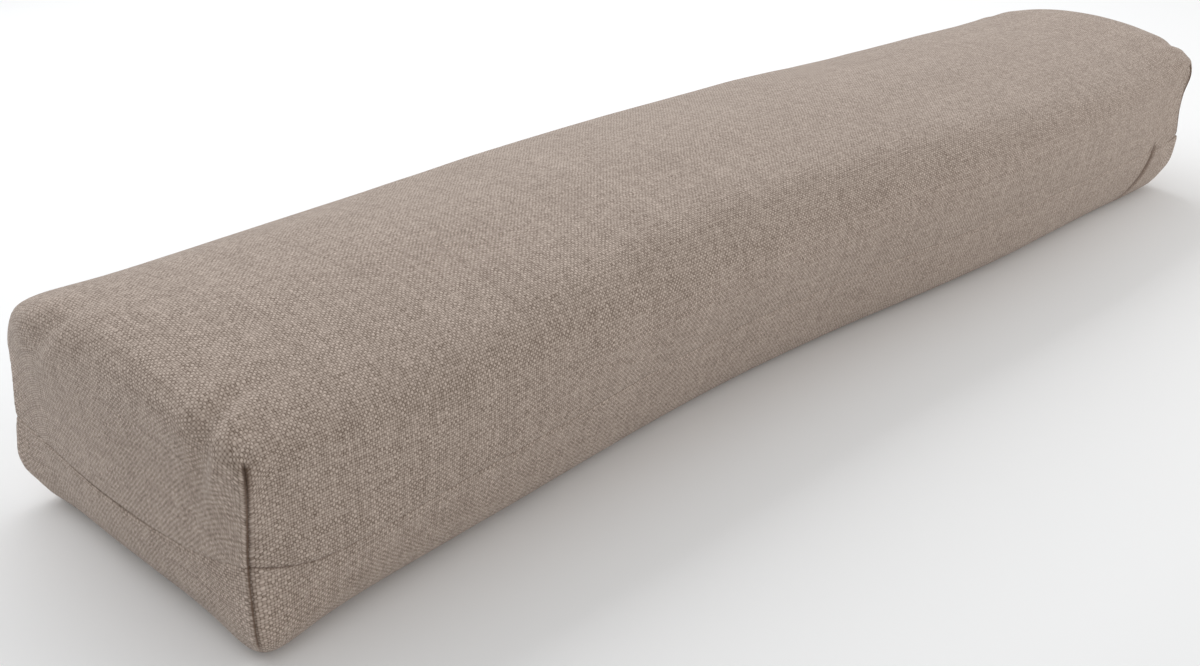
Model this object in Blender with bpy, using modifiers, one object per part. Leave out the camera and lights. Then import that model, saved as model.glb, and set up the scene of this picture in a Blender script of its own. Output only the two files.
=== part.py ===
"""Slim yoga bolster: one filled cushion with boxed corners, lying on its base."""

import math
from collections import namedtuple

import bmesh
import bpy
from mathutils import Vector
from mathutils.geometry import intersect_point_line

NAME = "bolster"
MM = 0.001

# The cushion is drawn by sections across its length, all in millimetres. These are the sizes
# of the cage, and the smooth surface lies a little inside it.
# at: place along the length, the near end is negative
# base, seam, side, edge: half widths, from the underside up to where the top begins
# front: how much further the front side stands out than the back one
# seam_up, side_up, edge_up: heights of those same lines
# shoulder_up, crown_up: heights of the top, first beside its middle and then near it
Section = namedtuple(
    "Section",
    "at base seam side edge front seam_up side_up edge_up shoulder_up crown_up",
)
SECTIONS = (
    Section(-351, 78, 82, 75, 85, 0, 35, 75, 83, 98, 106),
    Section(-327, 76, 82, 78, 84, 4, 32, 75, 80, 96, 103),
    Section(-288, 74, 82, 82, 81, 2, 35, 76, 84, 97, 103),
    Section(-232, 71, 81, 85, 78, 1, 38, 76, 90, 97, 104),
    Section(-169, 69, 81, 88, 76, -3, 40, 75, 94, 100, 105),
    Section(-101, 66, 80, 90, 75, -5, 42, 75, 97, 102, 107),
    Section(-35, 65, 80, 90, 74, -4, 41, 75, 98, 102, 107),
    Section(35, 66, 81, 90, 74, -1, 41, 75, 98, 102, 107),
    Section(101, 70, 81, 90, 75, 2, 40, 75, 97, 101, 106),
    Section(169, 71, 81, 88, 76, 4, 39, 75, 92, 99, 105),
    Section(232, 71, 82, 85, 78, 3, 38, 76, 89, 99, 104),
    Section(288, 74, 81, 82, 81, 0, 35, 76, 83, 96, 102),
    Section(327, 76, 82, 78, 84, -2, 33, 76, 80, 96, 103),
    Section(351, 78, 82, 75, 85, 0, 36, 75, 83, 98, 106),
)
LAST = len(SECTIONS) - 1

# Lanes run along the cushion, as shares of the half width: front side, four between, back side
LANES = (-1.0, -0.7, -0.25, 0.25, 0.7, 1.0)
FRONT, BACK = 0, len(LANES) - 1

# Rows go up the sides
BASE, BELOW, SEAM, ABOVE, SIDE, EDGE = range(6)
ROWS = 6

# Each corner is a dart, drawn from its tip at the top to its foot at the base. Every point is
# (outward along the length, outward across it, up).
Corner = namedtuple("Corner", "tip brow waist foot")
CORNERS = {
    (0, FRONT): Corner((351, 87, 80), (347, 80, 63), (349, 78, 39), (357, 93, -6)),
    (0, BACK): Corner((350, 87, 82), (352, 82, 62), (355, 83, 37), (359, 86, -3)),
    (LAST, FRONT): Corner((357, 87, 90), (350, 77, 64), (349, 80, 37), (355, 73, 1)),
    (LAST, BACK): Corner((353, 85, 80), (349, 80, 62), (348, 78, 39), (355, 76, -2)),
}
DART_SHARPNESS = 1.0

# How far the ends swell out between their corners. Then, for each lane, how far their top edge
# stands out past that, and how much lower it lies than its section: the near end is rounder.
SWELL = {0: 7, LAST: 10}
BASE_SWELL = 1
TOP_OUT = {0: (0, 5, -2, -1, 9, 0), LAST: (0, 11.5, 11.5, 11.5, 11.5, 0)}
TOP_DROP = {0: (0, 3, 7, 7, 0, 0), LAST: (0, 0, 0, 0, 0, 0)}

# The seam round the sides lies in a soft groove
GROOVE_DEPTH = 1.0
GROOVE_HALF = 5

# Folds in the cloth by the darts' tips, in millimetres. A fold runs through points measured from
# its tip: inward along the cushion, inward across it, and up. half: half its width. rise: how far
# it stands out, or goes in below zero. It fades towards both ends.
Fold = namedtuple("Fold", "rise half path")
EAR = (
    Fold(2.6, 4.2, ((15, 14, 12), (7, 13, 12), (-3, 8, 7), (-7, 7, 0), (-7, 11, -11), (-6, 17, -24))),
    Fold(-2.6, 4.0, ((16, 20, 14), (10, 19, 13), (3, 17, 12), (-4, 14, 8), (-7, 14, 0), (-7, 20, -13))),
    Fold(1.0, 5.5, ((16, 25, 16), (8, 25, 16), (-2, 24, 13), (-9, 22, 4), (-8, 27, -8))),
)
WIDE_EAR = (
    Fold(1.7, 4.8, ((4, 62, 24), (-8, 63, 23), (-13, 62, 17), (-14, 52, 8), (-10, 36, -4), (-6, 22, -14))),
    Fold(-1.7, 4.8, ((3, 50, 23), (-8, 50, 20), (-13, 47, 12), (-12, 38, 2), (-8, 25, -8))),
    Fold(1.1, 5.0, ((2, 36, 20), (-8, 34, 15), (-11, 26, 6), (-7, 15, -3))),
)
SOFT_EAR = tuple(Fold(fold.rise * 0.5, fold.half * 1.2, fold.path) for fold in EAR)
Ear = namedtuple("Ear", "tip folds")
EARS = {
    (0, FRONT): Ear((349, 79, 80), EAR),
    (0, BACK): Ear((349, 79, 79), WIDE_EAR),
    (LAST, FRONT): Ear((348, 77, 83), SOFT_EAR),
    (LAST, BACK): Ear((348, 79, 80), SOFT_EAR),
}
FADE_START = 0.08
# Near the tips the surface is cut finer, to take the folds, and that is as far as they reach
FINE_REACH = 26
EAR_REACH = 90

SMOOTH_LEVELS = 2
CLOTH_COLOUR = (0.36, 0.29, 0.235, 1.0)
CLOTH_ROUGHNESS = 0.95


def clear_scene():
    for old in list(bpy.data.objects):
        bpy.data.objects.remove(old)


def between(start, end, share):
    return start + (end - start) * share


def half_width(section, row):
    """Half width of a section at one of its rows."""
    low = between(section.base, section.seam, 1 - GROOVE_HALF / section.seam_up)
    rise = section.side_up - section.seam_up
    high = between(section.seam, section.side, GROOVE_HALF / rise)
    groove = section.seam - GROOVE_DEPTH
    return (section.base, low, groove, high, section.side, section.edge)[row]


def height(section, row, lane):
    """Height of a section at one of its rows, and of the top between its edges."""
    if row == EDGE and FRONT < lane < BACK:
        beside = lane in (FRONT + 1, BACK - 1)
        return section.shoulder_up if beside else section.crown_up
    low = section.seam_up - GROOVE_HALF
    high = section.seam_up + GROOVE_HALF
    return (0, low, section.seam_up, high, section.side_up, section.edge_up)[row]


def end_swell(station, lane, row):
    """How far an end stands out past its section, between its two corners."""
    share = 1 - LANES[lane] ** 2
    if row == BASE:
        return BASE_SWELL * share
    swell = SWELL[station] * share
    if row == EDGE:
        return swell + TOP_OUT[station][lane]
    return swell - GROOVE_DEPTH if row == SEAM else swell


def corner_point(station, lane, row):
    """A point of the dart at a corner."""
    tip, brow, waist, foot = (Vector(point) for point in CORNERS[station, lane])
    low = waist.lerp(foot, GROOVE_HALF / (waist.z - foot.z))
    high = waist.lerp(brow, GROOVE_HALF / (brow.z - waist.z))
    inward = GROOVE_DEPTH / 2 ** 0.5
    groove = waist - Vector((inward, inward, 0))
    out, across, up = (foot, low, groove, high, brow, tip)[row]
    return Vector((out if station == LAST else -out, across if lane == BACK else -across, up))


def cage_point(station, lane, row):
    """Where a point of the cage goes, from its place in the sections, lanes and rows."""
    at_end = station in (0, LAST)
    at_side = lane in (FRONT, BACK)
    if at_end and at_side:
        return corner_point(station, lane, row)
    section = SECTIONS[station]
    along = section.at
    if at_end:
        swell = end_swell(station, lane, row)
        along += swell if station == LAST else -swell
    across = LANES[lane] * half_width(section, row)
    if lane == FRONT:
        across -= section.front
    up = height(section, row, lane)
    if at_end and row == EDGE:
        up -= TOP_DROP[station][lane]
    return Vector((along, across, up))


def cut_cube(counts):
    """A cube cut into sections, lanes and rows, with each point at its whole-number place."""
    bm = bmesh.new()
    bmesh.ops.create_cube(bm, size=1.0)
    for vert in bm.verts:
        vert.co = [(place + 0.5) * (count - 1) for place, count in zip(vert.co, counts)]
    for axis, count in enumerate(counts):
        across = Vector([float(other == axis) for other in range(3)])
        for cut in range(1, count - 1):
            whole = bm.verts[:] + bm.edges[:] + bm.faces[:]
            bmesh.ops.bisect_plane(bm, geom=whole, plane_co=across * cut, plane_no=across)
    return bm


def cushion_cage():
    """The coarse cage of the filled cushion, with its four darts marked as sharp."""
    bm = cut_cube((len(SECTIONS), len(LANES), ROWS))
    crease = bm.edges.layers.float.new("crease_edge")
    places = {vert: tuple(round(part) for part in vert.co) for vert in bm.verts}
    for edge in bm.edges:
        ends = [places[vert][:2] for vert in edge.verts]
        if ends[0] == ends[1] and ends[0] in CORNERS:
            edge[crease] = DART_SHARPNESS
    for vert, place in places.items():
        vert.co = cage_point(*place) * MM
    mesh = bpy.data.meshes.new(NAME + "_cage")
    bm.to_mesh(mesh)
    bm.free()
    return bpy.data.objects.new(NAME + "_cage", mesh)


def smoothed(cage, collection):
    """The cage's smooth surface as a mesh of its own."""
    collection.objects.link(cage)
    soft = cage.modifiers.new("soft form", "SUBSURF")
    soft.levels = soft.render_levels = SMOOTH_LEVELS
    seen = cage.evaluated_get(bpy.context.evaluated_depsgraph_get())
    mesh = bpy.data.meshes.new_from_object(seen)
    bpy.data.objects.remove(cage)
    return mesh


def path_gap(point, path):
    """How far a point is from a path, and how far along it from 0 to 1 the nearest place is."""
    whole = sum((end - start).length for start, end in zip(path, path[1:]))
    nearest, share, run = math.inf, 0.0, 0.0
    for start, end in zip(path, path[1:]):
        along = min(max(intersect_point_line(point, start, end)[1], 0.0), 1.0)
        gap = (point - start.lerp(end, along)).length
        length = (end - start).length
        if gap < nearest:
            nearest, share = gap, (run + along * length) / whole
        run += length
    return nearest, share


def fold_rise(point, path, fold):
    """How far a fold lifts the cloth at a point."""
    gap, share = path_gap(point, path)
    fade = math.sin(math.pi * between(FADE_START, 1 - FADE_START, share))
    return fold.rise * fade * math.exp(-((gap / fold.half) ** 2))


def fold_ear(bm, place, ear):
    """Press the folds by one dart's tip into the smooth surface."""
    station, lane = place
    outward = Vector((1 if station == LAST else -1, 1 if lane == BACK else -1, 0))
    upward = Vector((0, 0, 1))
    tip = Vector(ear.tip) * (outward + upward)
    gaps = {vert: (vert.co / MM - tip).length for vert in bm.verts}
    close = [edge for edge in bm.edges if max(gaps[vert] for vert in edge.verts) < FINE_REACH]
    bmesh.ops.subdivide_edges(bm, edges=close, cuts=1, use_grid_fill=True)
    bm.normal_update()
    rises = {vert: 0.0 for vert in bm.verts if (vert.co / MM - tip).length < EAR_REACH}
    for fold in ear.folds:
        path = [tip + Vector(at) * (upward - outward) for at in fold.path]
        for vert in rises:
            rises[vert] += fold_rise(vert.co / MM, path, fold)
    for vert, rise in rises.items():
        vert.co += vert.normal * rise * MM


def folded(mesh):
    """The smooth surface with its folds by all four darts."""
    bm = bmesh.new()
    bm.from_mesh(mesh)
    for place, ear in EARS.items():
        fold_ear(bm, place, ear)
    bm.to_mesh(mesh)
    bm.free()


def settle(mesh):
    """Rest the cushion on its base and centre its box on the origin."""
    for vert in mesh.vertices:
        vert.co.z = max(vert.co.z, 0.0)
    middle = [
        (min(v.co[axis] for v in mesh.vertices) + max(v.co[axis] for v in mesh.vertices)) / 2
        for axis in (0, 1)
    ]
    shift = Vector((middle[0], middle[1], 0.0))
    for vert in mesh.vertices:
        vert.co -= shift


def cloth_material():
    """Taupe linen."""
    material = bpy.data.materials.new("linen")
    material.use_nodes = True
    shader = material.node_tree.nodes["Principled BSDF"]
    shader.inputs["Base Color"].default_value = CLOTH_COLOUR
    shader.inputs["Roughness"].default_value = CLOTH_ROUGHNESS
    shader.inputs["Metallic"].default_value = 0.0
    return material


def main():
    clear_scene()
    collection = bpy.data.collections.new("yoga_bolster")
    bpy.context.scene.collection.children.link(collection)
    mesh = smoothed(cushion_cage(), collection)
    folded(mesh)
    settle(mesh)
    mesh.name = NAME
    mesh.materials.append(cloth_material())
    mesh.shade_smooth()
    collection.objects.link(bpy.data.objects.new(NAME, mesh))


main()
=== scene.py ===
"""Slim yoga bolster in coarse taupe linen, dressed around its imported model."""

import math
from collections import namedtuple

import bmesh
import bpy
import numpy as np
from mathutils import Matrix, Vector, noise


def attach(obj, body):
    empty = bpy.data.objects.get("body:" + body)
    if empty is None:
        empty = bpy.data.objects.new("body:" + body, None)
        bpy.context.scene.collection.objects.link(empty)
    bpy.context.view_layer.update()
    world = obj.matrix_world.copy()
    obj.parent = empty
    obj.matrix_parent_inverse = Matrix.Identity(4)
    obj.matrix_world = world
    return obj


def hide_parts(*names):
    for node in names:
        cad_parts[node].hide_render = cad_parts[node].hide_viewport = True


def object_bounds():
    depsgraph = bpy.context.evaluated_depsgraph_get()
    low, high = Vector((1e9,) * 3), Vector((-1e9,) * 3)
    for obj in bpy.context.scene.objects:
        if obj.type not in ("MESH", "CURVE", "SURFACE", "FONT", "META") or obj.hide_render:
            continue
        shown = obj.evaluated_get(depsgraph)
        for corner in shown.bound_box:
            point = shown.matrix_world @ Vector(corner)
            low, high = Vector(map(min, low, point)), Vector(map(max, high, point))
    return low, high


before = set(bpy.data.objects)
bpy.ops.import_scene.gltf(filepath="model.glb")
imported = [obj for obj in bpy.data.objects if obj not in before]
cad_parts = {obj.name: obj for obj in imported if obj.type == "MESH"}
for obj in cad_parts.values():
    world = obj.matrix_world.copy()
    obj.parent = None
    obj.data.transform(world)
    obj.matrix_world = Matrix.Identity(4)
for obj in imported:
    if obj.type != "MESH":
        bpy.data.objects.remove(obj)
cad_low, cad_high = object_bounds()

MM = 0.001

# Sections across the cushion's length, in millimetres, as the model's own cage has them.
# at: place along the length, the near end is negative
# base, seam, side, edge: half widths, from the underside up to where the top begins
# front: how much further the front side stands out than the back one
# seam_up, side_up, edge_up: heights of those same lines
# shoulder_up, crown_up: heights of the top, first beside its middle and then near it
Section = namedtuple(
    "Section",
    "at base seam side edge front seam_up side_up edge_up shoulder_up crown_up",
)
SECTIONS = (
    Section(-351, 78, 82, 75, 85, 0, 35, 75, 83, 98, 106),
    Section(-327, 76, 82, 78, 84, 4, 32, 75, 80, 96, 103),
    Section(-288, 74, 82, 82, 81, 2, 35, 76, 84, 97, 103),
    Section(-232, 71, 81, 85, 78, 1, 38, 76, 90, 97, 104),
    Section(-169, 69, 81, 88, 76, -3, 40, 75, 94, 100, 105),
    Section(-101, 66, 80, 90, 75, -5, 42, 75, 97, 102, 107),
    Section(-35, 65, 80, 90, 74, -4, 41, 75, 98, 102, 107),
    Section(35, 66, 81, 90, 74, -1, 41, 75, 98, 102, 107),
    Section(101, 70, 81, 90, 75, 2, 40, 75, 97, 101, 106),
    Section(169, 71, 81, 88, 76, 4, 39, 75, 92, 99, 105),
    Section(232, 71, 82, 85, 78, 3, 38, 76, 89, 99, 104),
    Section(288, 74, 81, 82, 81, 0, 35, 76, 83, 96, 102),
    Section(327, 76, 82, 78, 84, -2, 33, 76, 80, 96, 103),
    Section(351, 78, 82, 75, 85, 0, 36, 75, 83, 98, 106),
)
LAST = len(SECTIONS) - 1

# Lanes run along the cushion, as shares of the half width: front side, four between, back side
LANES = (-1.0, -0.7, -0.25, 0.25, 0.7, 1.0)
FRONT, BACK = 0, len(LANES) - 1

# Rows go up the sides
BASE, BELOW, SEAM, ABOVE, SIDE, EDGE = range(6)
COUNTS = (len(SECTIONS), len(LANES), 6)

# Each corner is a dart, from its tip at the top to its foot at the base. Every point is
# (outward along the length, outward across it, up).
Corner = namedtuple("Corner", "tip brow waist foot")
CORNERS = {
    (0, FRONT): Corner((351, 87, 80), (347, 80, 63), (349, 78, 39), (357, 93, -6)),
    (0, BACK): Corner((350, 87, 82), (352, 82, 62), (355, 83, 37), (359, 86, -3)),
    (LAST, FRONT): Corner((357, 87, 90), (350, 77, 64), (349, 80, 37), (355, 73, 1)),
    (LAST, BACK): Corner((353, 85, 80), (349, 80, 62), (348, 78, 39), (355, 76, -2)),
}
# How far the ends swell out between their corners. Then, for each lane, how far their top edge
# stands out past that, and how much lower it lies than its section: the near end is rounder.
SWELL = {0: 7, LAST: 10}
BASE_SWELL = 1
TOP_OUT = {0: (0, 5, -2, -1, 9, 0), LAST: (0, 11.5, 11.5, 11.5, 11.5, 0)}
TOP_DROP = {0: (0, 3, 7, 7, 0, 0), LAST: (0, 0, 0, 0, 0, 0)}
GROOVE_DEPTH = 1.0
GROOVE_HALF = 5

# The smooth cage is read at 2 ** FINE_LEVELS points a cell, then cut into the cloth's own grid,
# CLOTH_STEP apart and closer beside the seams, at EDGE_STEPS from them
FINE_LEVELS = 4
CLOTH_STEP = 2.4
EDGE_STEPS = (0.3, 0.7, 1.2, 1.9, 2.8, 4.0)


def between(start, end, share):
    return start + (end - start) * share


def half_width(section, row):
    """Half width of a section at one of its rows."""
    low = between(section.base, section.seam, 1 - GROOVE_HALF / section.seam_up)
    rise = section.side_up - section.seam_up
    high = between(section.seam, section.side, GROOVE_HALF / rise)
    groove = section.seam - GROOVE_DEPTH
    return (section.base, low, groove, high, section.side, section.edge)[row]


def height(section, row, lane):
    """Height of a section at one of its rows, and of the top between its edges."""
    if row == EDGE and FRONT < lane < BACK:
        beside = lane in (FRONT + 1, BACK - 1)
        return section.shoulder_up if beside else section.crown_up
    low = section.seam_up - GROOVE_HALF
    high = section.seam_up + GROOVE_HALF
    return (0, low, section.seam_up, high, section.side_up, section.edge_up)[row]


def end_swell(station, lane, row):
    """How far an end stands out past its section, between its two corners."""
    share = 1 - LANES[lane] ** 2
    if row == BASE:
        return BASE_SWELL * share
    swell = SWELL[station] * share
    if row == EDGE:
        return swell + TOP_OUT[station][lane]
    return swell - GROOVE_DEPTH if row == SEAM else swell


def corner_point(station, lane, row):
    """A point of the dart at a corner."""
    tip, brow, waist, foot = (Vector(point) for point in CORNERS[station, lane])
    low = waist.lerp(foot, GROOVE_HALF / (waist.z - foot.z))
    high = waist.lerp(brow, GROOVE_HALF / (brow.z - waist.z))
    inward = GROOVE_DEPTH / 2 ** 0.5
    groove = waist - Vector((inward, inward, 0))
    out, across, up = (foot, low, groove, high, brow, tip)[row]
    return Vector((out if station == LAST else -out, across if lane == BACK else -across, up))


def cage_point(station, lane, row):
    """Where a point of the cage goes, in millimetres."""
    at_end = station in (0, LAST)
    if at_end and lane in (FRONT, BACK):
        return corner_point(station, lane, row)
    section = SECTIONS[station]
    along = section.at
    if at_end:
        swell = end_swell(station, lane, row)
        along += swell if station == LAST else -swell
    across = LANES[lane] * half_width(section, row)
    if lane == FRONT:
        across -= section.front
    up = height(section, row, lane)
    if at_end and row == EDGE:
        up -= TOP_DROP[station][lane]
    return Vector((along, across, up))


def cut_cube(counts):
    """A cube cut into sections, lanes and rows, with each point at its whole-number place."""
    bm = bmesh.new()
    bmesh.ops.create_cube(bm, size=1.0)
    for vert in bm.verts:
        vert.co = [(place + 0.5) * (count - 1) for place, count in zip(vert.co, counts)]
    for axis, count in enumerate(counts):
        across = Vector([float(other == axis) for other in range(3)])
        for cut in range(1, count - 1):
            whole = bm.verts[:] + bm.edges[:] + bm.faces[:]
            bmesh.ops.bisect_plane(bm, geom=whole, plane_co=across * cut, plane_no=across)
    return bm


def read_points(mesh):
    flat = np.empty(len(mesh.vertices) * 3)
    mesh.vertices.foreach_get("co", flat)
    return flat.reshape(-1, 3)


def smooth_points():
    """The cage's fine points in millimetres, and the place of each one in the cage."""
    bm = cut_cube(COUNTS)
    crease = bm.edges.layers.float.new("crease_edge")
    for edge in bm.edges:
        ends = [tuple(round(part) for part in vert.co.xy) for vert in edge.verts]
        if ends[0] == ends[1] and ends[0] in CORNERS:
            edge[crease] = 1.0
    mesh = bpy.data.meshes.new("cage")
    bm.to_mesh(mesh)
    bm.free()
    cage = bpy.data.objects.new("cage", mesh)
    bpy.context.scene.collection.objects.link(cage)
    smooth = cage.modifiers.new("smooth", "SUBSURF")
    smooth.levels = smooth.render_levels = FINE_LEVELS
    found = []
    for kind in ("SIMPLE", "CATMULL_CLARK"):
        smooth.subdivision_type = kind
        if kind == "CATMULL_CLARK":
            for vert in mesh.vertices:
                vert.co = cage_point(*(round(part) for part in vert.co))
            mesh.update()
        seen = cage.evaluated_get(bpy.context.evaluated_depsgraph_get())
        found.append(read_points(seen.to_mesh()))
        seen.to_mesh_clear()
    bpy.data.objects.remove(cage)
    places, points = found
    middle = (points.min(axis=0) + points.max(axis=0)) / 2
    points[:, :2] -= middle[:2]
    points[:, 2] = points[:, 2].clip(min=0)
    return places, points


# The cushion's six faces: the cage axis that is fixed and its place, then the axes of its grid
PATCHES = {
    "top": (2, EDGE, 0, 1),
    "base": (2, BASE, 0, 1),
    "front": (1, FRONT, 0, 2),
    "back": (1, BACK, 0, 2),
    "near": (0, 0, 1, 2),
    "far": (0, LAST, 1, 2),
}
SIDES = ("front", "back", "near", "far")
PANELS = ("base", "top")
FINE = 2 ** FINE_LEVELS
# The distance to a seam where there is none
FAR_AWAY = 999.0
# Shares of a cage cell over which a dart's crease dies out, at its foot and at its tip
FOOT_FADE = 0.4
TIP_FADE = 0.05
# A dart gapes near its tip: how much shallower it is below the row where it opens, and over how
# many rows it opens
SHALLOWER = 0.35
OPENS_AT = 4.1
OPENS_OVER = 0.8


def patch_grid(places, points, patch):
    """The fine points of one face of the cushion, as a grid."""
    fixed, value, first, second = PATCHES[patch]
    on_it = abs(places[:, fixed] - value) < 1e-3
    rows = np.rint(places[on_it, first] * FINE).astype(int)
    columns = np.rint(places[on_it, second] * FINE).astype(int)
    grid = np.zeros((rows.max() + 1, columns.max() + 1, 3))
    grid[rows, columns] = points[on_it]
    return grid


def run_of(grid, axis):
    """Length run along one axis of a grid, for each of its lines."""
    steps = np.linalg.norm(np.diff(grid, axis=axis), axis=2)
    start = np.zeros_like(np.take(steps, [0], axis=axis))
    return np.concatenate([start, np.cumsum(steps, axis=axis)], axis=axis)


def spaced(total, marks):
    """Distances from 0 to a total: close together by each mark, and even between."""
    close = {0.0, total}
    for mark in marks:
        for step in (0.0, *EDGE_STEPS):
            close.update(at for at in (mark - step, mark + step) if 0 <= at <= total)
    close = sorted(close)
    found = []
    for start, end in zip(close, close[1:]):
        count = max(1, round((end - start) / CLOTH_STEP))
        found.extend(np.linspace(start, end, count, endpoint=False))
    return np.array(found + [total])


def axis_places(grids):
    """Where the cloth's grid lines go along the three cage axes, in fine steps."""
    along = run_of(grids["top"], 0).mean(axis=1)
    across = run_of(grids["top"], 1).mean(axis=0)
    up = np.mean([run_of(grids[side], 1).mean(axis=0) for side in SIDES], axis=0)
    seam = up[SEAM * FINE]
    found = []
    for run, marks in ((along, (0, along[-1])), (across, (0, across[-1])), (up, (seam,))):
        found.append(np.interp(spaced(run[-1], marks), run, np.arange(len(run))))
    seam_line = abs(found[2] - SEAM * FINE).argmin()
    found[2][seam_line] = SEAM * FINE
    return found, seam_line


def resampled(grid, at_rows, at_columns):
    """A grid read between its points, along smooth curves."""
    for axis, at in ((0, at_rows), (1, at_columns)):
        lines = np.moveaxis(grid, axis, 0)
        before = 2 * lines[:1] - lines[1:2]
        after = 2 * lines[-1:] - lines[-2:-1]
        lines = np.concatenate([before, lines, after])
        cell = np.minimum(at.astype(int), len(lines) - 4)
        part = (at - cell)[:, None, None]
        a, b, c, d = (lines[cell + step] for step in range(4))
        bend = 2 * a - 5 * b + 4 * c - d + part * (3 * (b - c) + d - a)
        lines = b + 0.5 * part * (c - a + part * bend)
        grid = np.moveaxis(lines, 0, axis)
    return grid


def panel_maps(grids):
    """How each panel's cloth lies flat: length along it and across it from its middle."""
    maps = {}
    for panel in PANELS:
        along = run_of(grids[panel], 0)
        across = run_of(grids[panel], 1)
        along = along - along[len(along) // 2]
        across = across - across[:, -1:] / 2
        maps[panel] = np.stack([along, across], axis=-1)
    return maps


def side_map(edge, side_run, panel, outward, axis):
    """A side's part of a panel: its edge's map, run on outward down or up the side."""
    away = side_run[:, -1:] - side_run if panel == "top" else side_run
    flat = np.repeat(edge[:, None, :], side_run.shape[1], axis=1)
    flat[..., axis] += outward * away
    return flat


def outward_quads(grid):
    """The faces between a grid's points, turned to look out of the cushion."""
    number = np.arange(grid[..., 0].size).reshape(grid.shape[:2])
    corners = [number[:-1, :-1], number[1:, :-1], number[1:, 1:], number[:-1, 1:]]
    quads = np.stack(corners, axis=-1).reshape(-1, 4)
    points = grid.reshape(-1, 3)
    sides = points[quads[:, 1:3]] - points[quads[:, :1]]
    looks = np.cross(sides[:, 0], sides[:, 1])
    from_middle = points[quads[:, 0]] - np.array([0, 0, cad_high.z / MM / 2])
    return quads[:, ::-1] if (looks * from_middle).sum() < 0 else quads


# points and places are one for each grid point, quads and upper one for each face. upper says
# which panel a face is cut from, and maps has each point's place on both flat panels.
Patch = namedtuple("Patch", "points places quads upper maps seam_gap dart_gap")


def cloth_patch(name, grids, at, seam_line, maps):
    """One face of the cushion: points, their places in the cage, faces and weave maps."""
    fixed, value, first, second = PATCHES[name]
    grid = grids[name]
    rows, columns = grid.shape[:2]
    places = np.zeros((rows, columns, 3))
    places[..., fixed] = value * FINE
    places[..., first] = at[first][:, None]
    places[..., second] = at[second][None, :]
    seam_gap = np.full((rows, columns), FAR_AWAY)
    dart_gap = np.full((rows, columns), FAR_AWAY)
    upper = np.full((rows - 1, columns - 1), name == "top")
    if name in SIDES:
        up = run_of(grid, 1)
        level = run_of(grid, 0)
        seam_gap = up - up[:, seam_line:seam_line + 1]
        dart_gap = np.minimum(level, level[-1:] - level)
        upper = np.arange(columns - 1)[None, :] >= seam_line
        upper = np.repeat(upper, rows - 1, axis=0)
        outward = -1 if value == 0 else 1
        end = 0 if value == 0 else -1
        edges = [maps[panel][:, end] if fixed == 1 else maps[panel][end] for panel in PANELS]
        flat = [side_map(edge, up, panel, outward, fixed) for edge, panel in zip(edges, PANELS)]
    else:
        flat = [maps[name], maps[name]]
    return Patch(
        grid.reshape(-1, 3),
        places.reshape(-1, 3),
        outward_quads(grid),
        upper.ravel(),
        np.stack([part.reshape(-1, 2) for part in flat], axis=1),
        seam_gap.ravel(),
        dart_gap.ravel(),
    )


def cover_patches():
    """The six faces of the cover, cut from the smooth cage."""
    places, points = smooth_points()
    fine = {name: patch_grid(places, points, name) for name in PATCHES}
    at, seam_line = axis_places(fine)
    grids = {}
    for name, (fixed, value, first, second) in PATCHES.items():
        grids[name] = resampled(fine[name], at[first], at[second])
    maps = panel_maps(grids)
    return [cloth_patch(name, grids, at, seam_line, maps) for name in PATCHES]


Cloth = namedtuple(
    "Cloth",
    "points quads weave seam_gap dart_gap dart_depth dart_point on_long_side",
)


def joined(patches):
    """The faces of the cover as one, with the points that they share made one point."""
    places = np.concatenate([patch.places for patch in patches]).round(3)
    places, welded = np.unique(places, axis=0, return_inverse=True)
    welded = welded.ravel()
    starts = np.cumsum([0] + [len(patch.points) for patch in patches[:-1]])
    quads = np.concatenate([patch.quads + start for patch, start in zip(patches, starts)])
    maps = np.concatenate([patch.maps for patch in patches])
    upper = np.concatenate([patch.upper for patch in patches])
    points = np.zeros((len(places), 3))
    points[welded] = np.concatenate([patch.points for patch in patches])
    gaps = {}
    for name in ("seam_gap", "dart_gap"):
        gap = np.concatenate([getattr(patch, name) for patch in patches])
        nearest_last = np.argsort(-abs(gap), kind="stable")
        gaps[name] = np.zeros(len(places))
        gaps[name][welded[nearest_last]] = gap[nearest_last]
    station, lane, row = (places / FINE).T
    depth = (row / FOOT_FADE).clip(0, 1) * ((EDGE - row) / TIP_FADE).clip(0, 1)
    depth *= 1 - SHALLOWER * ((OPENS_AT - row) / OPENS_OVER + 0.5).clip(0, 1)
    # Below the side seam the far front corner has its dart as a slit, further along
    no_dart = (station > LAST / 2) & (lane < BACK / 2) & (row < SEAM)
    depth[no_dart] = 0
    on_long_side = ((lane == FRONT) | (lane == BACK)) & (station > 0) & (station < LAST)
    numbers = {tuple(place): number for number, place in enumerate(places)}
    beside = places.copy()
    for axis, end in ((0, LAST * FINE), (1, BACK * FINE)):
        beside[:, axis] = np.where(places[:, axis] > end / 2, end, 0)
    return Cloth(
        points,
        welded[quads],
        maps[quads, upper.astype(int)[:, None]],
        gaps["seam_gap"],
        gaps["dart_gap"],
        depth,
        np.array([numbers[tuple(place)] for place in beside]),
        on_long_side,
    )


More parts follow.
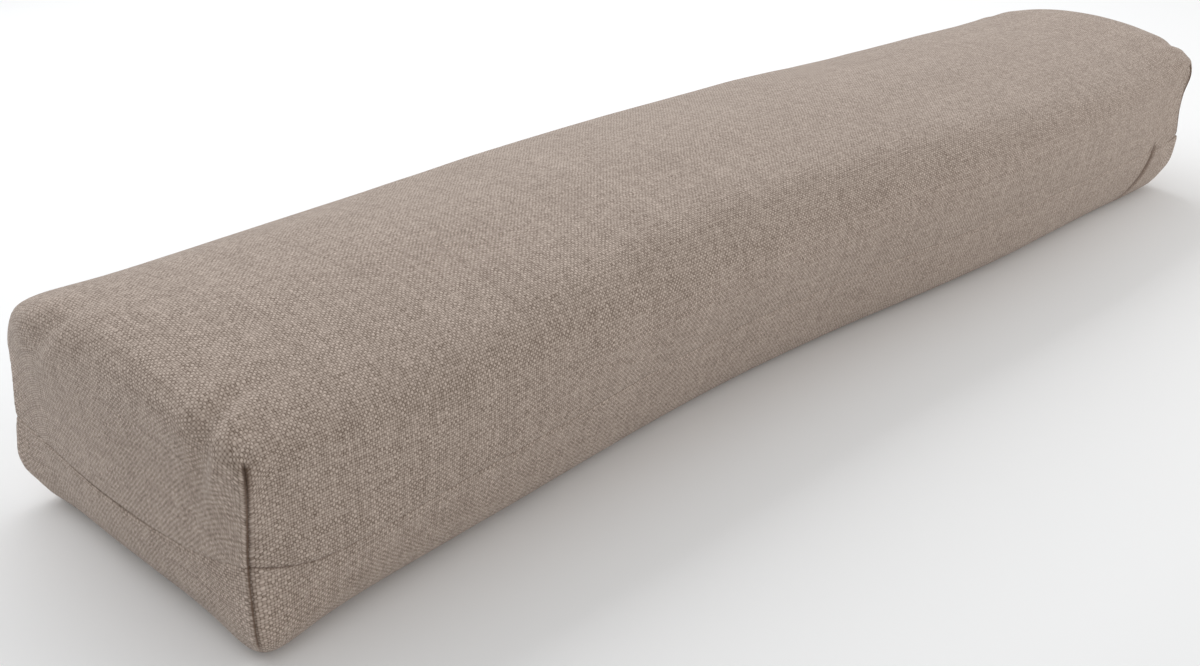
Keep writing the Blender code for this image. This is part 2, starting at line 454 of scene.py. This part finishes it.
# Folds in the cloth by the darts' tips, in millimetres. A fold's path is points measured from the
# dart's tip: inward along the cushion, inward across it, and up. half: half its width. rise: how
# far it stands out, or goes in below zero. It fades towards both ends.
Fold = namedtuple("Fold", "rise half path")
EAR = (
    Fold(2.6, 4.2, ((15, 14, 12), (7, 13, 12), (-3, 8, 7), (-7, 7, 0), (-7, 11, -11), (-6, 17, -24))),
    Fold(-2.6, 4.0, ((16, 20, 14), (10, 19, 13), (3, 17, 12), (-4, 14, 8), (-7, 14, 0), (-7, 20, -13))),
    Fold(1.0, 5.5, ((16, 25, 16), (8, 25, 16), (-2, 24, 13), (-9, 22, 4), (-8, 27, -8))),
)
WIDE_EAR = (
    Fold(1.7, 4.8, ((4, 62, 24), (-8, 63, 23), (-13, 62, 17), (-14, 52, 8), (-10, 36, -4), (-6, 22, -14))),
    Fold(-1.7, 4.8, ((3, 50, 23), (-8, 50, 20), (-13, 47, 12), (-12, 38, 2), (-8, 25, -8))),
    Fold(1.1, 5.0, ((2, 36, 20), (-8, 34, 15), (-11, 26, 6), (-7, 15, -3))),
)
SOFT_EAR = tuple(Fold(fold.rise * 0.5, fold.half * 1.2, fold.path) for fold in EAR)
Ear = namedtuple("Ear", "tip folds")
EARS = {
    (0, FRONT): Ear((349, 79, 80), EAR),
    (0, BACK): Ear((349, 79, 79), WIDE_EAR),
    (LAST, FRONT): Ear((348, 77, 83), SOFT_EAR),
    (LAST, BACK): Ear((348, 79, 80), SOFT_EAR),
}
# Where along its path a fold starts to rise, and how far from a tip its folds reach
FADE_START = 0.08
EAR_REACH = 90
# Small folds where the cloth tucks in at a tip
TUCKS = (
    Fold(1.5, 3.0, ((17, 2, 5), (10, 0, 4), (4, 0, 3), (-1, 2, 2), (-3, 3, -5))),
    Fold(-1.6, 4.0, ((18, -3, -2), (10, -3, -5), (5, -3, -9), (4, -2, -18))),
)

# Seams are drawn in: depth of the crease, how fast it opens out, and the soft roll beside it
Crease = namedtuple("Crease", "depth width roll roll_width")
SIDE_SEAM = Crease(0.35, 0.8, 0.12, 2.0)
DART_SEAM = Crease(1.6, 0.8, 0.3, 1.8)
# Beside a dart the long side lies this much deeper than the end does, less and less further off
DART_STEP = 1.4
DART_STEP_REACH = 3.5
# How far from a dart the cloth's lift turns to straight out, and how far its shade reaches
DART_TURN = 8.0
DART_SHADE = 2.4
# The lower panel's dart by the far front corner lies well along the long side. Its points are
# (along the cushion, up).
FAR_SLIT = ((312, 38), (310, 32), (307, 25), (302, 18), (295, 11), (284, 3))
SLIT_SEAM = Crease(1.3, 1.3, 0.4, 3.0)
SLIT_REACH = 20
# Small puckers beside the seams: a stitch's length, their height and how far they reach
STITCH = 3.2
PUCKER = 0.14
PUCKER_REACH = 3.0
# Below this height the lumps and folds fade out, because the cloth rests on the floor there
REST_BAND = 6
# Unevenness of the filling under the cloth: (wavelength, height) in millimetres
LUMPS = ((150, 1.2), (60, 0.45), (24, 0.16))


def vertex_normals(mesh):
    flat = np.empty(len(mesh.vertices) * 3)
    mesh.vertex_normals.foreach_get("vector", flat)
    return flat.reshape(-1, 3)


def write_points(mesh, points):
    mesh.vertices.foreach_set("co", points.ravel())
    mesh.update()


def path_gap(points, path):
    """How far points are from a path, and how far along it from 0 to 1 their nearest place is."""
    lengths = np.linalg.norm(np.diff(path, axis=0), axis=1)
    starts = np.concatenate([[0], np.cumsum(lengths)])
    gap = np.full(len(points), FAR_AWAY)
    share = np.zeros(len(points))
    for index, length in enumerate(lengths):
        direction = (path[index + 1] - path[index]) / length
        along = ((points - path[index]) @ direction).clip(0, length)
        distance = np.linalg.norm(points - path[index] - along[:, None] * direction, axis=1)
        nearer = distance < gap
        gap[nearer] = distance[nearer]
        share[nearer] = (starts[index] + along[nearer]) / starts[-1]
    return gap, share


def folds_rise(points, place, ear, folds):
    """How far the folds by one dart's tip lift the cloth, at each point."""
    station, lane = place
    outward = np.array([1 if station == LAST else -1, 1 if lane == BACK else -1, 0])
    upward = np.array([0, 0, 1])
    tip = ear.tip * (outward + upward)
    rise = np.zeros(len(points))
    near = np.linalg.norm(points - tip, axis=1) < EAR_REACH
    for fold in folds:
        path = tip + np.array(fold.path) * (upward - outward)
        gap, share = path_gap(points[near], path)
        fade = np.sin(math.pi * between(FADE_START, 1 - FADE_START, share))
        rise[near] += fold.rise * fade * np.exp(-((gap / fold.half) ** 2))
    return rise


def lumps(points):
    """Low, wide unevenness of the filling, worked out from smooth noise."""
    rise = np.zeros(len(points))
    for wavelength, height in LUMPS:
        scaled = points / wavelength
        values = [noise.noise(Vector(place)) for place in scaled]
        rise += height * np.array(values)
    return rise


def crease_rise(gap, crease):
    """How far a drawn-in seam moves the cloth beside it."""
    gap = abs(gap)
    drawn = crease.depth * np.exp(-gap / crease.width)
    roll = crease.roll * (gap / crease.roll_width) * np.exp(1 - gap / crease.roll_width)
    return roll - drawn


def stitch_puckers(points, seam_gap, dart_gap):
    """Small puckers beside the seams, a stitch apart."""
    round_it = (points[:, 0] + points[:, 1]) * (2 * math.pi / STITCH)
    up_it = points[:, 2] * (2 * math.pi / STITCH)
    by_seam = np.sin(round_it) * np.exp(-(seam_gap / PUCKER_REACH) ** 2) * abs(seam_gap) / 2
    by_dart = np.sin(up_it) * np.exp(-(dart_gap / PUCKER_REACH) ** 2) * abs(dart_gap) / 2
    return PUCKER * (by_seam + by_dart)


def signed_slit_gap(points):
    """How far points of the far end's long side are from the slit there, towards the end."""
    path = np.array(FAR_SLIT, float)
    gap, share = path_gap(points[:, ::2], path)
    line = np.interp(points[:, 2], path[::-1, 1], path[::-1, 0])
    away = (points[:, 1] > 0) | (gap > SLIT_REACH)
    signed = np.where(points[:, 0] > line, gap, -gap)
    fade = np.sin(math.pi * share.clip(0, 1) ** 0.5) ** 0.5
    return np.where(away, FAR_AWAY, signed), fade


def lift_ways(cloth, mesh):
    """The way each point lifts: straight out, turning evenly from one side of a dart to the other."""
    ways = vertex_normals(mesh)
    share = (cloth.dart_gap / DART_TURN).clip(0, 1)[:, None]
    ways = between(ways[cloth.dart_point], ways, share * share * (3 - 2 * share))
    return ways / np.linalg.norm(ways, axis=1, keepdims=True)


def shaped(cloth, mesh):
    """The cover's points with the filling's unevenness, the folds and the drawn-in seams."""
    points = cloth.points
    lift = lumps(points)
    for place, ear in EARS.items():
        lift += folds_rise(points, place, ear, ear.folds + TUCKS)
    lift *= (points[:, 2] / REST_BAND).clip(0, 1)
    lift += crease_rise(cloth.seam_gap, SIDE_SEAM)
    lift += crease_rise(cloth.dart_gap, DART_SEAM) * cloth.dart_depth
    lift += stitch_puckers(points, cloth.seam_gap, cloth.dart_gap)
    dip = np.exp(-cloth.dart_gap / DART_STEP_REACH) * cloth.dart_depth
    lift -= DART_STEP * dip * cloth.on_long_side
    gap, fade = signed_slit_gap(points)
    lift += crease_rise(gap, SLIT_SEAM) * fade
    points = points + lift_ways(cloth, mesh) * lift[:, None]
    points[:, 2] = points[:, 2].clip(min=0)
    return points


def add_number(mesh, name, values):
    attribute = mesh.attributes.new(name, "FLOAT", "POINT")
    attribute.data.foreach_set("value", values.clip(-FAR_AWAY, FAR_AWAY))


def cover():
    """The whole filled cover, as one closed mesh with its weave map and seam distances."""
    cloth = joined(cover_patches())
    mesh = bpy.data.meshes.new("cover")
    mesh.from_pydata(cloth.points.tolist(), [], cloth.quads.tolist())
    mesh.shade_smooth()
    mesh.update()
    write_points(mesh, shaped(cloth, mesh) * MM)
    layer = mesh.uv_layers.new(name="weave")
    layer.data.foreach_set("uv", (cloth.weave * MM).ravel())
    slit_gap, slit_depth = signed_slit_gap(cloth.points)
    add_number(mesh, "seam_gap", cloth.seam_gap)
    add_number(mesh, "dart_gap", cloth.dart_gap)
    add_number(mesh, "dart_depth", cloth.dart_depth)
    add_number(mesh, "long_side", cloth.on_long_side.astype(float))
    add_number(mesh, "slit_gap", slit_gap)
    add_number(mesh, "slit_depth", slit_depth)
    piece = bpy.data.objects.new("cover", mesh)
    bpy.context.scene.collection.objects.link(piece)
    return piece


# The weave: yarns a pitch apart both ways, all in metres on the weave map
YARN_PITCH = 0.00099
YARN_RELIEF = 0.00009
SEAM_RELIEF = 0.0004
PALE = (0.65, 0.538, 0.46, 1.0)
DEEP = (0.15, 0.105, 0.075, 1.0)
# Painted shade: the brown that the seams' creases, the darts and the far slit are darkened to
SEAM_SHADE_BROWN = (0.11, 0.062, 0.036, 1.0)

# How the yarns wander: how often that changes in a metre of cloth, and how far it goes in yarns
Wander = namedtuple("Wander", "often reach")
BEND = Wander(14.0, 2.0)
SPACING = Wander(380.0, 1.3)
SHAKE = Wander(420.0, 0.7)
# Their spacing changes often from yarn to yarn, and this seldom along a yarn
SPACING_ALONG = 22.0
# How far the side seam's line wanders with the shake, in millimetres, and a dart's share of it
SEAM_WANDER = 1.2
DART_WANDER = 0.4
# Keeps the yarns' places above zero
FAR_ALONG = 1000.0

# A soft change from start to end as a number goes from low to high
Change = namedtuple("Change", "low high start end")
# The yarns' thick and thin stretches: their girth, how soon it changes along a yarn, and how far
# apart two neighbouring yarns are in the noise that it comes from
GIRTH = Change(0.25, 0.75, 0.82, 1.12)
SLUB_ALONG = 0.13
SLUB_APART = 5.37
# A yarn's surface: how far it goes over and under, how round it is, how far the warp stands above
# the middle and the weft below it, and how much single crowns differ
CRIMP = 0.7
ROUNDNESS = 0.5
PROUD = 0.1
CROWN_RISE = 0.15
# What a yarn's tone is made of: its own, its thick and thin stretches, and each crown's
OWN_SHARE = 0.3
SLUB_SHARE = 0.35
CROWN_SHARE = 0.25

# Tones, from 0 for deep to 1 for pale: painted shade and painted light by the height of the surface, deep
# in the hollows between the yarns and pale on their crowns, then the yarns' own tones and smooth noise
HEIGHT_SHADE_TONE = Change(0.4, 1.5, 0.38, 0.66)
HOLLOW_SHADE_TONE = Change(0.1, 0.8, -0.34, 0.0)
CROWN_LIGHT_CHEQUER = 0.12
WARP_TONE = Change(0.1, 0.8, -0.08, 0.17)
WEFT_TONE = Change(0.1, 0.8, -0.12, 0.12)
MOTTLE_TONE = Change(0.3, 0.7, -0.015, 0.015)
MOTTLE_OFTEN = 60.0
FIBRE_TONE = Change(0.3, 0.7, -0.05, 0.05)
FIBRE_OFTEN = 3400.0
FIBRE_RELIEF = 0.35
FLECK_TONE = Change(0.70, 0.80, 0.0, -0.4)
# How soon the flecks' noise changes along them and across them, in each yarn passed
FLECK_LONG = 0.45
FLECK_SHORT = 1.6

# Half widths of the seams' lines of painted shade, in millimetres
SIDE_LINE = 0.36
DART_LINE = 0.5
SLIT_LINE = 3.0
# How much of the painted brown shade shows on the seams' lines
SEAM_SHADE_STRENGTH = 0.9
# How plainly the side seam shows: on the ends by how far a place is from their middle, and on
# the long sides by how near it is to an end, both in metres
END_MIDDLE = 0.015
ON_END = Change(0.02, 0.055, 0.85, 0.12)
ON_LONG_SIDE = Change(0.29, 0.35, 0.06, 0.75)
PATCHY = Change(0.35, 0.65, 0.6, 1.1)
PATCHY_OFTEN = 60.0
# The shade beside a dart, and how fast it and the dart's line fade out at the dart's ends
DART_GAPE = Change(1 - SHALLOWER, 1.0, 0.35, 0.95)
DART_FADE = 1.6


class Nodes:
    """Short calls that add nodes to a material and link them."""

    def __init__(self, material):
        self.tree = material.node_tree
        # Where a place is on the flat cloth, and where it is on the cushion, both in metres
        flat = self.add("SeparateXYZ", self.add("UVMap", uv_map="weave").outputs[0])
        self.cloth = flat.outputs[:2]
        place = self.add("SeparateXYZ", self.add("TexCoord").outputs["Object"])
        self.position = place.outputs[:]

    def add(self, kind, *inputs, **settings):
        node = self.tree.nodes.new("ShaderNode" + kind)
        for name, value in settings.items():
            setattr(node, name, value)
        for place, value in enumerate(inputs):
            self.feed(node.inputs[place], value)
        return node

    def feed(self, socket, value):
        if isinstance(value, bpy.types.NodeSocket):
            self.tree.links.new(value, socket)
        elif value is not None:
            socket.default_value = value

    def math(self, operation, *inputs):
        return self.add("Math", *inputs, operation=operation).outputs[0]

    def plus(self, first, second):
        return self.math("ADD", first, second)

    def minus(self, first, second):
        return self.math("SUBTRACT", first, second)

    def times(self, first, second):
        return self.math("MULTIPLY", first, second)

    def noise(self, x, y, seed, detail=2.0):
        """Smooth noise around 0.5 at a place in the plane."""
        place = self.add("CombineXYZ", x, y, seed).outputs[0]
        node = self.add("TexNoise", None, None, 1.0, detail, noise_dimensions="3D")
        self.feed(node.inputs["Vector"], place)
        return node.outputs[0]

    def cloth_noise(self, often, seed, detail):
        """Smooth noise on the flat cloth, with so many changes in a metre."""
        return self.noise(*[self.times(place, often) for place in self.cloth], seed, detail)

    def chance(self, first, second, seed):
        """One random number for each pair of whole numbers."""
        place = self.add("CombineXYZ", first, second, seed).outputs[0]
        return self.add("TexWhiteNoise", place, noise_dimensions="3D").outputs[0]

    def ramp(self, value, low, high, start=0.0, end=1.0):
        node = self.add("MapRange", value, low, high, start, end, interpolation_type="SMOOTHSTEP")
        return node.outputs[0]

    def number(self, name):
        return self.add("Attribute", attribute_name=name).outputs["Fac"]

    def clamped(self, value):
        return self.math("MAXIMUM", self.math("MINIMUM", value, 1.0), 0.0)

    def mix(self, share, first, second):
        """A colour between two others."""
        node = self.add("Mix", data_type="RGBA")
        self.feed(node.inputs[0], share)
        self.feed(node.inputs[6], first)
        self.feed(node.inputs[7], second)
        return node.outputs[2]


def yarn(nodes, at, along, seed, crimp_sign, proud):
    """One set of yarns: the height of its surface and its tone.

    at runs across the yarns and along runs with them, both in yarns. proud is how much higher
    this set stands than the other.
    """
    number = nodes.math("FLOOR", at)
    off_middle = nodes.minus(nodes.math("FRACT", at), 0.5)
    slub = nodes.noise(nodes.times(number, SLUB_APART), nodes.times(along, SLUB_ALONG), seed)
    girth = nodes.ramp(slub, *GIRTH)
    width = nodes.math("DIVIDE", nodes.times(off_middle, 2.0), girth)
    side = nodes.math("MAXIMUM", nodes.minus(1.0, nodes.times(width, width)), 0.0)
    wave = nodes.math("SINE", nodes.times(nodes.plus(along, number), math.pi))
    crimp = nodes.times(wave, CRIMP * crimp_sign)
    crown = nodes.chance(number, nodes.math("FLOOR", along), seed)
    height = nodes.plus(crimp, nodes.times(nodes.times(side, girth), ROUNDNESS))
    height = nodes.plus(height, nodes.ramp(crown, 0.0, 1.0, proud - CROWN_RISE, proud + CROWN_RISE))
    own = nodes.times(nodes.chance(number, 0.0, seed), OWN_SHARE)
    tone = nodes.plus(own, nodes.times(slub, SLUB_SHARE))
    return height, nodes.plus(tone, nodes.times(crown, CROWN_SHARE))


def seam_line(nodes, gap, half):
    """1 on a seam, falling off to 0 within a few half widths."""
    share = nodes.math("DIVIDE", gap, half)
    return nodes.math("EXPONENT", nodes.times(nodes.times(share, share), -1.0))


def seams(nodes, wander):
    """How much painted shade the seams' creases get at a place, and how deep they are drawn, from 0 to 1.
    """
    x, y = nodes.position[:2]
    side = seam_line(nodes, nodes.plus(nodes.number("seam_gap"), wander), SIDE_LINE)
    on_end = nodes.ramp(nodes.math("ABSOLUTE", nodes.minus(y, END_MIDDLE)), *ON_END)
    on_long_side = nodes.ramp(nodes.math("ABSOLUTE", x), *ON_LONG_SIDE)
    long_side = nodes.number("long_side")
    shown = nodes.plus(on_end, nodes.times(long_side, nodes.minus(on_long_side, on_end)))
    patchy = nodes.noise(nodes.times(x, PATCHY_OFTEN), nodes.times(y, PATCHY_OFTEN), 2.2)
    side = nodes.times(side, nodes.times(shown, nodes.ramp(patchy, *PATCHY)))
    dart_wander = nodes.times(wander, DART_WANDER)
    dart = seam_line(nodes, nodes.plus(nodes.number("dart_gap"), dart_wander), DART_LINE)
    dart = nodes.times(dart, nodes.clamped(nodes.times(nodes.number("dart_depth"), DART_FADE)))
    slit = seam_line(nodes, nodes.number("slit_gap"), SLIT_LINE)
    slit = nodes.times(slit, nodes.number("slit_depth"))
    return nodes.math("MAXIMUM", side, nodes.math("MAXIMUM", dart, slit))


def dart_shade(nodes):
    """The shade on the long side of a dart, where its cloth runs in under the end's."""
    shade = seam_line(nodes, nodes.number("dart_gap"), DART_SHADE)
    gape = nodes.ramp(nodes.number("dart_depth"), *DART_GAPE)
    fade = nodes.clamped(nodes.times(nodes.number("dart_depth"), DART_FADE))
    return nodes.times(nodes.times(shade, gape), nodes.times(fade, nodes.number("long_side")))


def yarn_places(nodes):
    """Where a place is across both sets of yarns, and the shake of the last one.

    The yarns wander in long bends, are unevenly spaced, and shift a little at each crossing.
    """
    across, along = nodes.cloth
    places = []
    for value, other, seed in ((across, along, 3.1), (along, across, 8.4)):
        bend = nodes.cloth_noise(BEND.often, seed, 1.0)
        spaced_out = (nodes.times(value, SPACING.often), nodes.times(other, SPACING_ALONG))
        spacing = nodes.noise(*spaced_out, seed + 40, 1.0)
        shake = nodes.cloth_noise(SHAKE.often, seed + 20, 1.0)
        at = nodes.plus(nodes.times(value, 1 / YARN_PITCH), nodes.times(bend, BEND.reach))
        at = nodes.plus(at, nodes.times(spacing, SPACING.reach))
        places.append(nodes.plus(nodes.plus(at, nodes.times(shake, SHAKE.reach)), FAR_ALONG))
    return places, shake


def flecks(nodes, x, y):
    """Short dark flecks that lie along one set of yarns or the other."""
    one_way = nodes.noise(nodes.times(x, FLECK_LONG), nodes.times(y, FLECK_SHORT), 21.0, 1.0)
    other_way = nodes.noise(nodes.times(x, FLECK_SHORT), nodes.times(y, FLECK_LONG), 33.0, 1.0)
    return nodes.ramp(nodes.math("MAXIMUM", one_way, other_way), *FLECK_TONE)


def linen():
    """Coarse plain weave in undyed taupe, thick and thin yarns, with dark flecks."""
    material = bpy.data.materials.new("linen")
    material.use_nodes = True
    nodes = Nodes(material)
    shader = material.node_tree.nodes["Principled BSDF"]
    yarns, shake = yarn_places(nodes)
    x, y = yarns
    warp, warp_tone = yarn(nodes, x, y, 11.0, 1.0, PROUD)
    weft, weft_tone = yarn(nodes, y, x, 47.0, -1.0, -PROUD)
    on_top = nodes.math("GREATER_THAN", warp, weft)
    height = nodes.math("MAXIMUM", warp, weft)
    # Painted light on the crowns and painted shade in the hollows between them, by the yarns' height, then
    # each yarn's own tone
    chequer = nodes.times(*[nodes.math("SINE", nodes.times(at, math.pi)) for at in yarns])
    tone = nodes.ramp(height, *HEIGHT_SHADE_TONE)
    tone = nodes.plus(tone, nodes.times(chequer, CROWN_LIGHT_CHEQUER))
    tone = nodes.plus(tone, nodes.ramp(height, *HOLLOW_SHADE_TONE))
    under = nodes.minus(1.0, on_top)
    tone = nodes.plus(tone, nodes.times(on_top, nodes.ramp(warp_tone, *WARP_TONE)))
    tone = nodes.plus(tone, nodes.times(under, nodes.ramp(weft_tone, *WEFT_TONE)))
    tone = nodes.plus(tone, nodes.ramp(nodes.cloth_noise(MOTTLE_OFTEN, 1.7, 3.0), *MOTTLE_TONE))
    fibre = nodes.cloth_noise(FIBRE_OFTEN, 5.9, 2.0)
    tone = nodes.plus(tone, nodes.ramp(fibre, *FIBRE_TONE))
    tone = nodes.plus(tone, flecks(nodes, x, y))
    seam = seams(nodes, nodes.times(nodes.minus(shake, 0.5), SEAM_WANDER))
    colour = nodes.mix(nodes.clamped(tone), DEEP, PALE)
    # Painted shade: the seams' lines and the shade beside the darts mix the colour towards brown
    shade = nodes.math("MAXIMUM", nodes.times(seam, SEAM_SHADE_STRENGTH), dart_shade(nodes))
    nodes.feed(shader.inputs["Base Color"], nodes.mix(shade, colour, SEAM_SHADE_BROWN))
    relief = nodes.plus(height, nodes.times(fibre, FIBRE_RELIEF))
    relief = nodes.minus(relief, nodes.times(seam, SEAM_RELIEF / YARN_RELIEF))
    bump = nodes.add("Bump")
    bump.inputs["Strength"].default_value = 1.0
    bump.inputs["Distance"].default_value = YARN_RELIEF
    nodes.feed(bump.inputs["Height"], relief)
    nodes.feed(shader.inputs["Normal"], bump.outputs[0])
    shader.inputs["Roughness"].default_value = 0.92
    shader.inputs["Specular IOR Level"].default_value = 0.25
    shader.inputs["Sheen Weight"].default_value = 0.12
    shader.inputs["Sheen Roughness"].default_value = 0.6
    return material


# The camera: where it stands in metres, where it looks, its roll and its lens
CAMERA_PLACE = Vector((-0.5406, -0.4259, 0.3035))
CAMERA_TURN = math.radians(-45.288)
CAMERA_DIP = math.radians(25.16)
CAMERA_ROLL = math.radians(0.2)
LENS = 41.60


def set_camera():
    data = bpy.data.cameras.new("camera")
    data.lens = LENS
    data.clip_start = 0.01
    camera = bpy.data.objects.new("camera", data)
    turn = Matrix.Rotation(CAMERA_TURN, 4, "Z")
    dip = Matrix.Rotation(math.pi / 2 - CAMERA_DIP, 4, "X")
    roll = Matrix.Rotation(CAMERA_ROLL, 4, "Z")
    camera.matrix_world = Matrix.Translation(CAMERA_PLACE) @ turn @ dip @ roll
    bpy.context.scene.collection.objects.link(camera)
    bpy.context.scene.camera = camera


# Soft boxes: place and aim in metres, width, height, power in watts
SoftBox = namedtuple("SoftBox", "name place aim width height power colour")
COOL = (0.97, 0.98, 1.0)
WARM = (1.0, 0.97, 0.94)
SOFT_BOXES = (
    SoftBox("overhead", (0.1, 0.35, 1.9), (0.0, 0.0, 0.0), 2.4, 2.0, 6.0, COOL),
    SoftBox("back", (0.0, 0.85, 0.9), (0.0, 0.0, 0.05), 2.4, 0.7, 10.5, COOL),
    SoftBox("far_front", (1.2, -1.2, 0.7), (0.15, 0.0, 0.05), 1.1, 0.9, 8.3, WARM),
)
WORLD = (0.98, 0.99, 1.0, 1.0)
WORLD_STRENGTH = 0.57
FLOOR = (0.9, 0.9, 0.895, 1.0)
FLOOR_HALF = 4.0
FLOOR_GAP = 0.5 * MM


def set_lights():
    for box in SOFT_BOXES:
        data = bpy.data.lights.new(box.name, "AREA")
        data.shape = "RECTANGLE"
        data.size = box.width
        data.size_y = box.height
        data.energy = box.power
        data.color = box.colour
        lamp = bpy.data.objects.new(box.name, data)
        lamp.location = box.place
        aim = Vector(box.aim) - lamp.location
        lamp.rotation_euler = aim.to_track_quat("-Z", "Y").to_euler()
        bpy.context.scene.collection.objects.link(lamp)
    world = bpy.data.worlds.new("studio")
    world.use_nodes = True
    background = world.node_tree.nodes["Background"]
    background.inputs["Color"].default_value = WORLD
    background.inputs["Strength"].default_value = WORLD_STRENGTH
    bpy.context.scene.world = world
    bpy.context.scene.view_settings.view_transform = "Standard"


def set_floor():
    """A pale floor that isn't part of the object."""
    bm = bmesh.new()
    bmesh.ops.create_grid(bm, x_segments=1, y_segments=1, size=FLOOR_HALF)
    mesh = bpy.data.meshes.new("floor")
    bm.to_mesh(mesh)
    bm.free()
    material = bpy.data.materials.new("pale floor")
    material.use_nodes = True
    shader = material.node_tree.nodes["Principled BSDF"]
    shader.inputs["Base Color"].default_value = FLOOR
    shader.inputs["Roughness"].default_value = 0.9
    mesh.materials.append(material)
    floor = bpy.data.objects.new("floor", mesh)
    floor.location.z = -FLOOR_GAP
    bpy.context.scene.collection.objects.link(floor)


set_camera()
set_lights()
set_floor()

piece = cover()
piece.data.materials.append(linen())
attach(piece, "root")
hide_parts("bolster")
